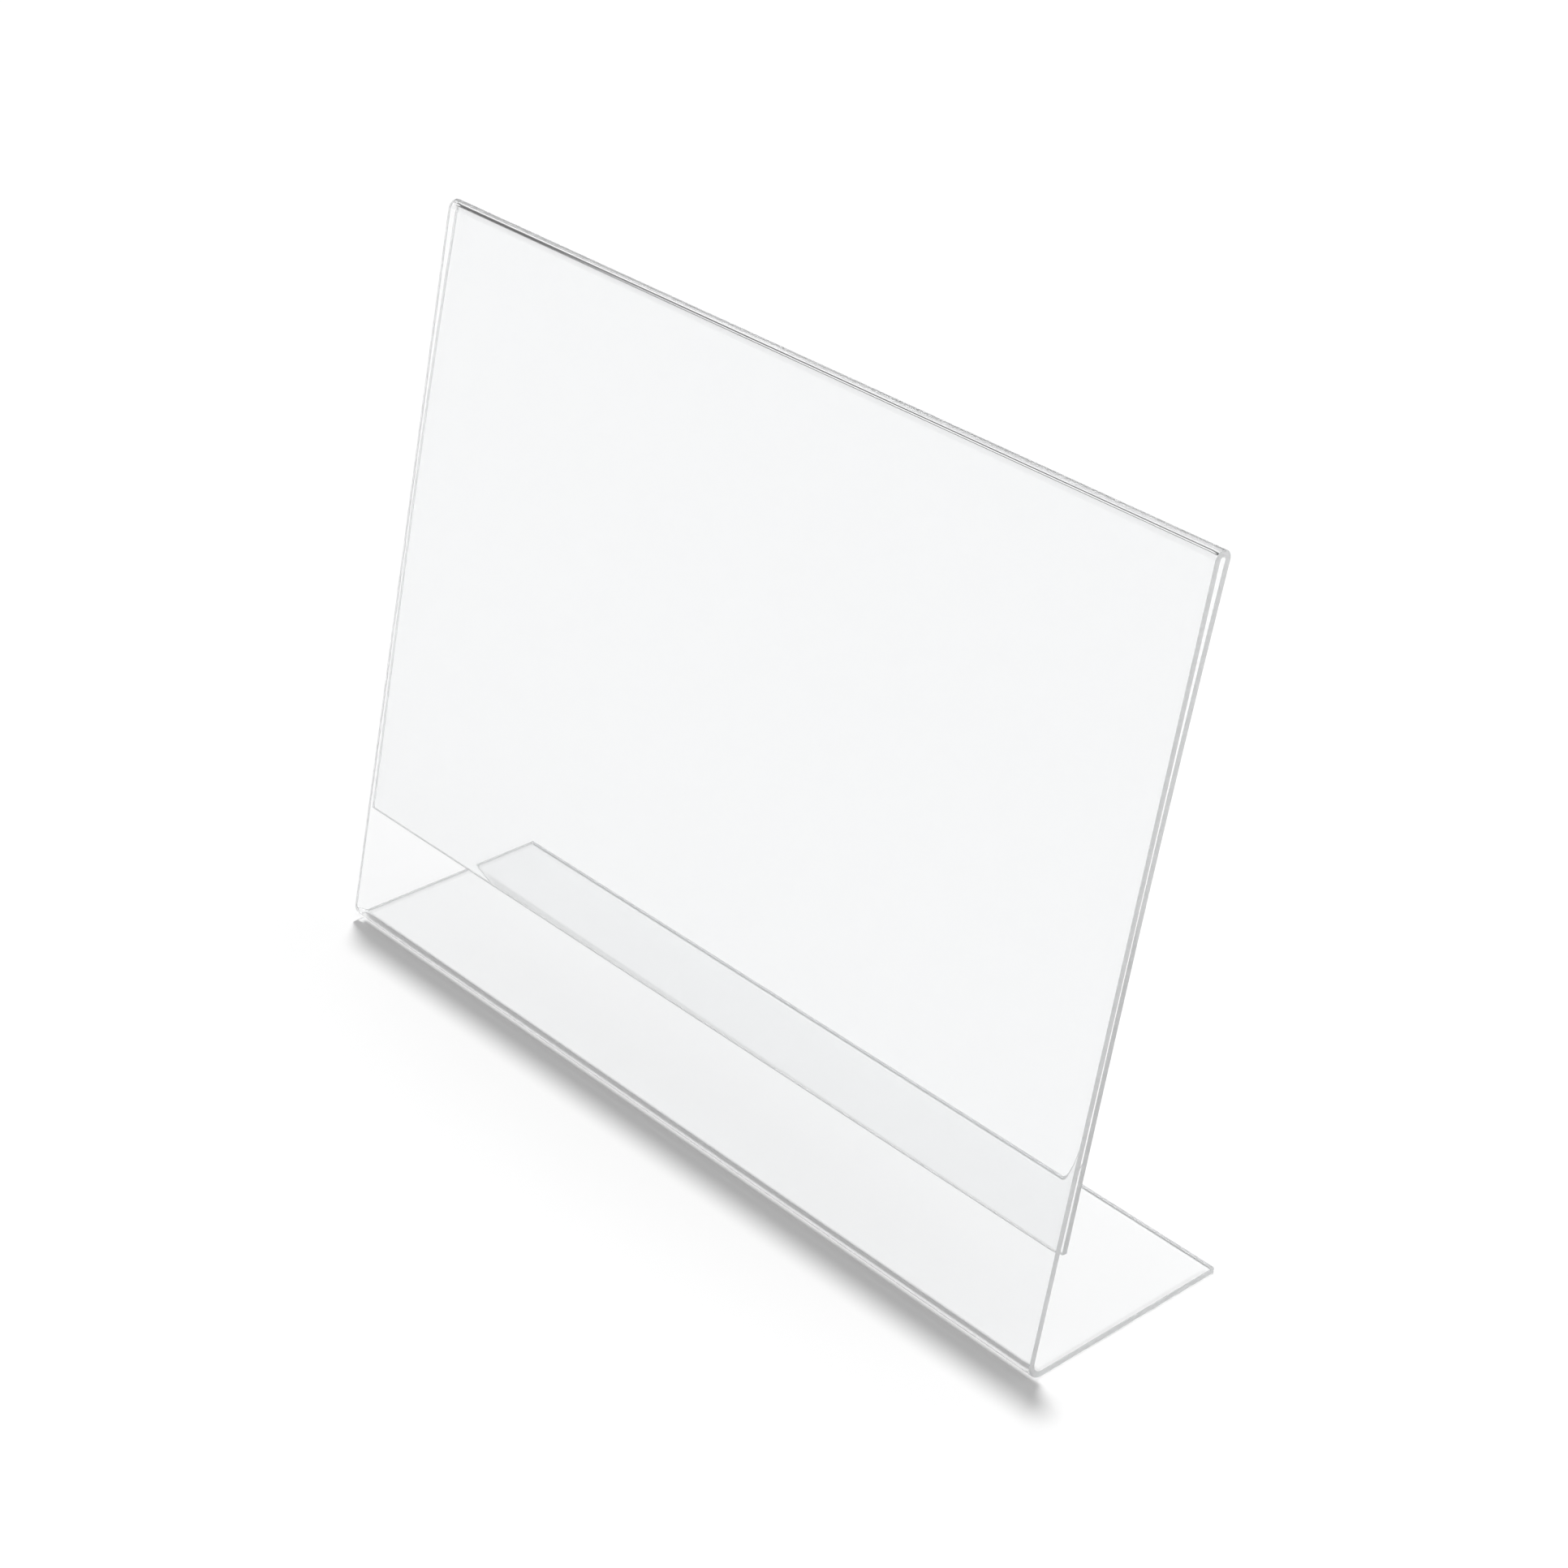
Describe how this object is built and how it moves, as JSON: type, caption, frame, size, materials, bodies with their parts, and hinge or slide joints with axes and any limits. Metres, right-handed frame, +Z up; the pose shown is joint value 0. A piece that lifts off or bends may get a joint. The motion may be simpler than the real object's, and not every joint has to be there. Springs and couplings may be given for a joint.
{
  "type": "slanted sign holder",
  "caption": "Clear acrylic sheet bent into a flat foot and a leaning folded panel whose narrow pocket holds a printed sign.",
  "frame": {"origin": "centre of the bounding box on the surface that the foot rests on", "axes": "+X along the width, +Y from the bend at the front towards the foot's rear edge, +Z up"},
  "size_m": [0.2794, 0.07, 0.2182],
  "materials": {
    "clear_acrylic": "clear, polished faces; finely sawn and flamed cut edges"
  },
  "bodies": {
    "root": {"folded_sheet": "clear_acrylic"}
  },
  "joints": []
}
